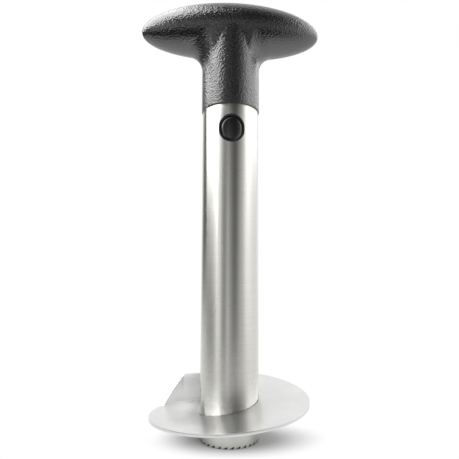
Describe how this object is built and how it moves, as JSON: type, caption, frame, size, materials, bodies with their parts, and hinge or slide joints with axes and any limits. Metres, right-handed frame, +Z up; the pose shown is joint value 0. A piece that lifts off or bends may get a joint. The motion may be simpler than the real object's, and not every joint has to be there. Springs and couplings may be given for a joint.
{
  "type": "pineapple corer",
  "caption": "Steel coring tube with a saw-toothed rim and a helical slicing blade, and a plastic T grip that pulls off when its side buttons are pressed.",
  "frame": {"origin": "on the tube's axis, level with the tooth tips", "axes": "+Z up along the tube to the grip, the grip's bar along X, the front button facing -Y"},
  "size_m": [0.1046, 0.0864, 0.2465],
  "materials": {
    "brushed_tube": "stainless steel brushed round the tube",
    "satin_blade": "bright satin stainless sheet",
    "weld_metal": "dull weld metal",
    "black_grip": "black plastic with a fine moulded grain",
    "zinc_screw": "zinc plated steel",
    "gray_plastic": "dark plastic",
    "black_button": "polished black plastic",
    "spring_wire": "drawn stainless spring wire"
  },
  "bodies": {
    "tube": {"core_tube": "brushed_tube", "slicing_blade": "satin_blade", "weld_bead_1": "weld_metal", "weld_bead_2": "weld_metal", "weld_bead_3": "weld_metal", "weld_bead_4": "weld_metal", "weld_bead_5": "weld_metal", "weld_bead_6": "weld_metal", "weld_bead_7": "weld_metal", "weld_bead_8": "weld_metal", "weld_bead_9": "weld_metal"},
    "handle": {"grip_body": "black_grip", "grip_cover": "black_grip", "left_screw": "zinc_screw", "right_screw": "zinc_screw", "latch_plug": "gray_plastic", "latch_cap": "gray_plastic", "front_spring": "spring_wire", "rear_spring": "spring_wire"},
    "front_release": {"front_button": "black_button"},
    "rear_release": {"rear_button": "black_button"}
  },
  "joints": [
    {"name": "handle_lift", "type": "slide", "parent": "tube", "child": "handle", "axis": [0, 0, 1], "range_m": [0, 0.025]},
    {"name": "press_front_button", "type": "slide", "parent": "handle", "child": "front_release", "axis": [0, 1, 0], "range_m": [0, 0.0055], "stiffness_N_per_m": 700, "springref_m": -0.003, "deforming": ["front_spring"]},
    {"name": "press_rear_button", "type": "slide", "parent": "handle", "child": "rear_release", "axis": [0, -1, 0], "range_m": [0, 0.0055], "stiffness_N_per_m": 700, "springref_m": -0.003, "deforming": ["rear_spring"]}
  ],
  "couplings": [
    {"joint": "press_front_button", "follows": "handle_lift", "ratio": 0.22},
    {"joint": "press_rear_button", "follows": "handle_lift", "ratio": 0.22}
  ]
}
